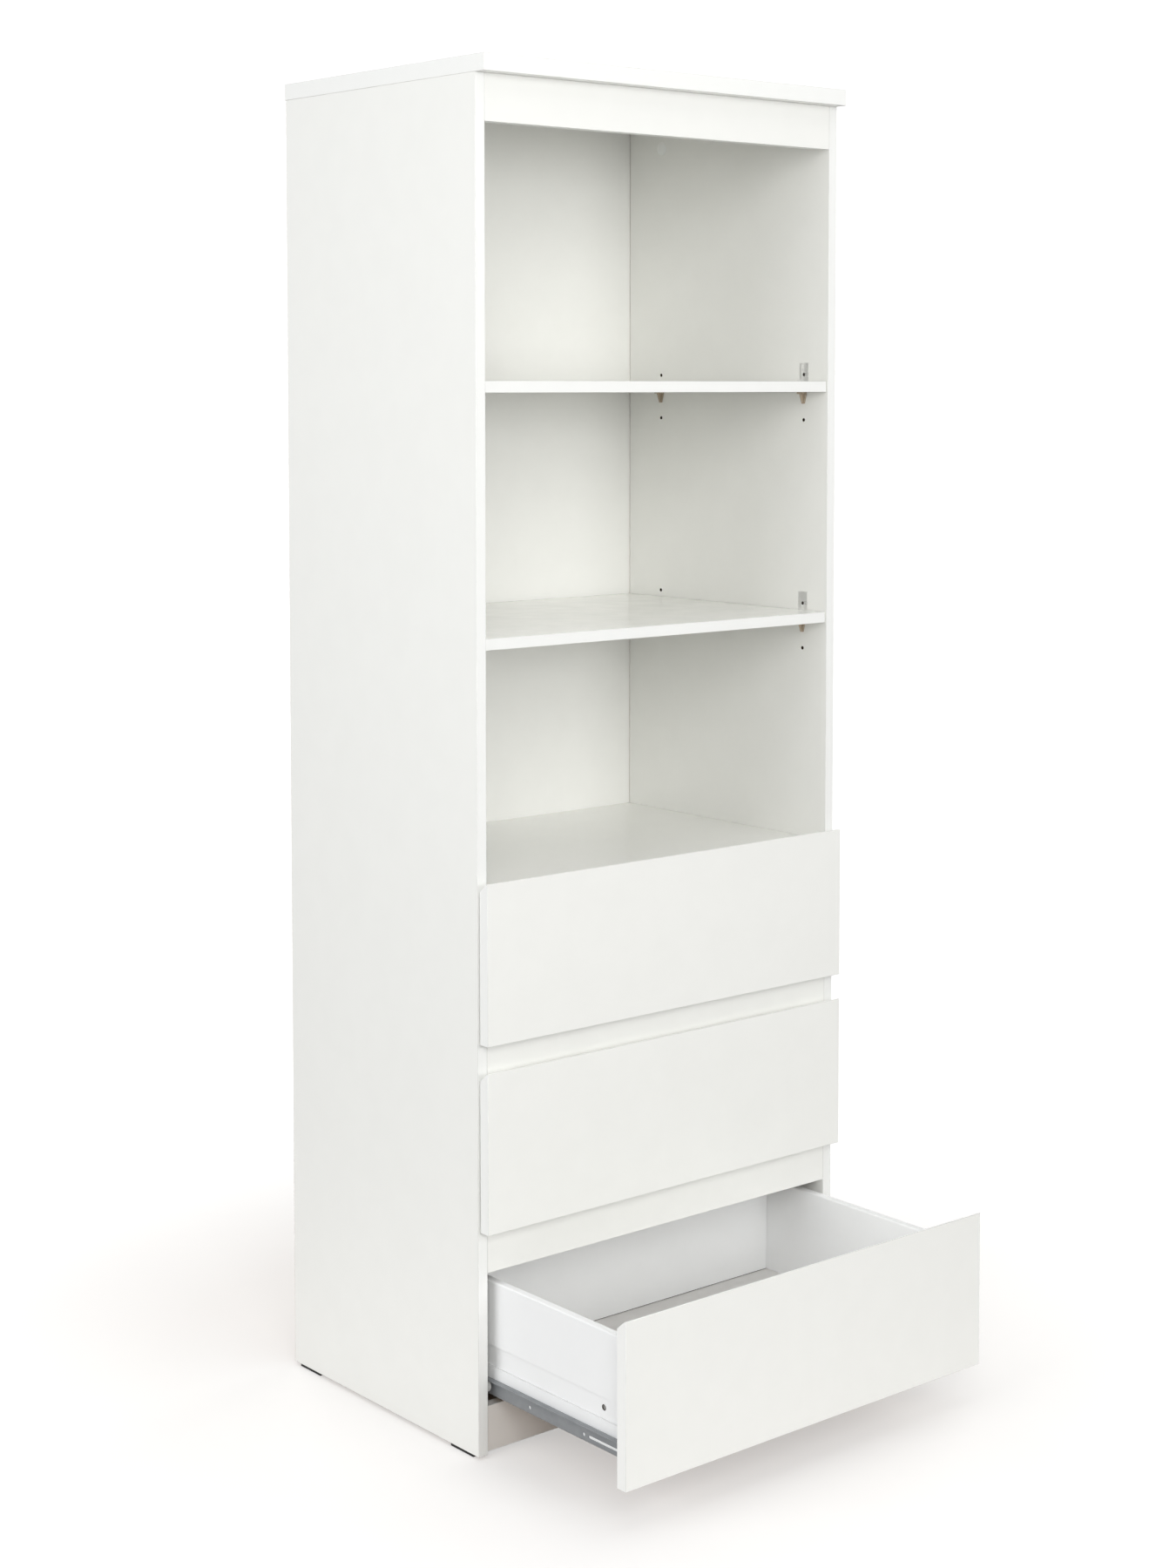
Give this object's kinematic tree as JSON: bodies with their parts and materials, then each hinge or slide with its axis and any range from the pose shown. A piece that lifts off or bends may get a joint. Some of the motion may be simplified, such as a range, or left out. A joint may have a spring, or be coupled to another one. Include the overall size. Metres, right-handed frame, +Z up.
{
  "type": "bookcase with bottom drawers",
  "caption": "Tall white bookcase: open compartments with loose shelves above a stack of handleless drawers on roller runners, the lowest drawer pulled out.",
  "frame": {"origin": "on the floor under the middle of the carcass's footprint, side panels' front edges to their rear edges", "axes": "+X to the right seen from the front, +Y to the back, +Z up; the drawers open along -Y"},
  "size_m": [0.635, 0.7135, 1.785],
  "materials": {
    "white_board": "white melamine on particleboard, satin, edges banded",
    "back_hardboard": "hardboard, white lacquer inside, brown behind",
    "drawer_foil_board": "particleboard wrapped in smooth white foil",
    "drawer_hardboard": "hardboard, pale grey lacquer",
    "grey_steel": "grey powder coat on folded sheet",
    "white_nylon": "moulded nylon",
    "zinc_fittings": "zinc",
    "white_plastic": "moulded, smooth",
    "amber_plastic": "clear moulded plastic with an amber cast",
    "clear_plastic": "clear moulded plastic",
    "black_plastic": "moulded, dull",
    "beech": "plain beech"
  },
  "bodies": {
    "bottom_drawer": {"bottom_drawer_back": "drawer_foil_board", "bottom_drawer_bottom": "drawer_hardboard", "bottom_drawer_cam_fasteners": "zinc_fittings", "bottom_drawer_front": "white_board", "bottom_drawer_left_runner": "grey_steel", "bottom_drawer_left_side": "drawer_foil_board", "bottom_drawer_right_runner": "grey_steel", "bottom_drawer_right_side": "drawer_foil_board"},
    "bottom_rear_roller_pair": {"bottom_drawer_rear_rollers": "white_nylon"},
    "bottom_front_roller_pair": {"bottom_front_rollers": "white_nylon"},
    "carcass": {"bottom_left_cabinet_runner": "grey_steel", "bottom_right_cabinet_runner": "grey_steel", "cam_bolts": "zinc_fittings", "cam_cover_caps": "white_plastic", "cam_locks": "zinc_fittings", "fixed_shelf": "white_board", "foot_pads": "black_plastic", "front_plinth": "white_board", "left_side_panel": "white_board", "lower_back_panel": "back_hardboard", "lower_drawer_rail": "white_board", "lower_shelf": "white_board", "lower_shelf_supports": "amber_plastic", "middle_left_cabinet_runner": "grey_steel", "middle_right_cabinet_runner": "grey_steel", "rear_plinth": "white_board", "right_side_panel": "white_board", "shelf_lock_tabs": "clear_plastic", "top_left_cabinet_runner": "grey_steel", "top_panel": "white_board", "top_rail": "white_board", "top_right_cabinet_runner": "grey_steel", "upper_back_panel": "back_hardboard", "upper_drawer_rail": "white_board", "upper_shelf": "white_board", "upper_shelf_supports": "amber_plastic", "wooden_dowels": "beech"},
    "middle_drawer": {"middle_drawer_back": "drawer_foil_board", "middle_drawer_bottom": "drawer_hardboard", "middle_drawer_cam_fasteners": "zinc_fittings", "middle_drawer_front": "white_board", "middle_drawer_left_runner": "grey_steel", "middle_drawer_left_side": "drawer_foil_board", "middle_drawer_right_runner": "grey_steel", "middle_drawer_right_side": "drawer_foil_board"},
    "middle_rear_roller_pair": {"middle_drawer_rear_rollers": "white_nylon"},
    "middle_front_roller_pair": {"middle_front_rollers": "white_nylon"},
    "top_drawer": {"top_drawer_back": "drawer_foil_board", "top_drawer_bottom": "drawer_hardboard", "top_drawer_cam_fasteners": "zinc_fittings", "top_drawer_front": "white_board", "top_drawer_left_runner": "grey_steel", "top_drawer_left_side": "drawer_foil_board", "top_drawer_right_runner": "grey_steel", "top_drawer_right_side": "drawer_foil_board"},
    "top_rear_roller_pair": {"top_drawer_rear_rollers": "white_nylon"},
    "top_front_roller_pair": {"top_front_rollers": "white_nylon"}
  },
  "joints": [
    {"name": "bottom_drawer_slide", "type": "slide", "parent": "carcass", "child": "bottom_drawer", "axis": [0, -1, 0], "range_m": [-0.2675, 0]},
    {"name": "bottom_front_roller_turn", "type": "hinge", "parent": "carcass", "child": "bottom_front_roller_pair", "pos_m": [0, -0.2, 0.0902], "axis": [1, 0, 0], "range_deg": [-1810, 0]},
    {"name": "bottom_rear_roller_turn", "type": "hinge", "parent": "bottom_drawer", "child": "bottom_rear_roller_pair", "pos_m": [0, -0.1415, 0.0861], "axis": [1, 0, 0], "range_deg": [-1920, 0]},
    {"name": "middle_drawer_slide", "type": "slide", "parent": "carcass", "child": "middle_drawer", "axis": [0, -1, 0], "range_m": [0, 0.2675]},
    {"name": "middle_front_roller_turn", "type": "hinge", "parent": "carcass", "child": "middle_front_roller_pair", "pos_m": [0, -0.2, 0.3332], "axis": [1, 0, 0], "range_deg": [0, 1810]},
    {"name": "middle_rear_roller_turn", "type": "hinge", "parent": "middle_drawer", "child": "middle_rear_roller_pair", "pos_m": [0, 0.126, 0.3291], "axis": [1, 0, 0], "range_deg": [0, 1920]},
    {"name": "top_drawer_slide", "type": "slide", "parent": "carcass", "child": "top_drawer", "axis": [0, -1, 0], "range_m": [0, 0.2675]},
    {"name": "top_front_roller_turn", "type": "hinge", "parent": "carcass", "child": "top_front_roller_pair", "pos_m": [0, -0.2, 0.5762], "axis": [1, 0, 0], "range_deg": [0, 1810]},
    {"name": "top_rear_roller_turn", "type": "hinge", "parent": "top_drawer", "child": "top_rear_roller_pair", "pos_m": [0, 0.126, 0.5721], "axis": [1, 0, 0], "range_deg": [0, 1920]}
  ],
  "couplings": [
    {"joint": "bottom_front_roller_turn", "follows": "bottom_drawer_slide", "rad_per_m": 117.65},
    {"joint": "bottom_rear_roller_turn", "follows": "bottom_drawer_slide", "rad_per_m": 125},
    {"joint": "middle_front_roller_turn", "follows": "middle_drawer_slide", "rad_per_m": 117.65},
    {"joint": "middle_rear_roller_turn", "follows": "middle_drawer_slide", "rad_per_m": 125},
    {"joint": "top_front_roller_turn", "follows": "top_drawer_slide", "rad_per_m": 117.65},
    {"joint": "top_rear_roller_turn", "follows": "top_drawer_slide", "rad_per_m": 125}
  ]
}
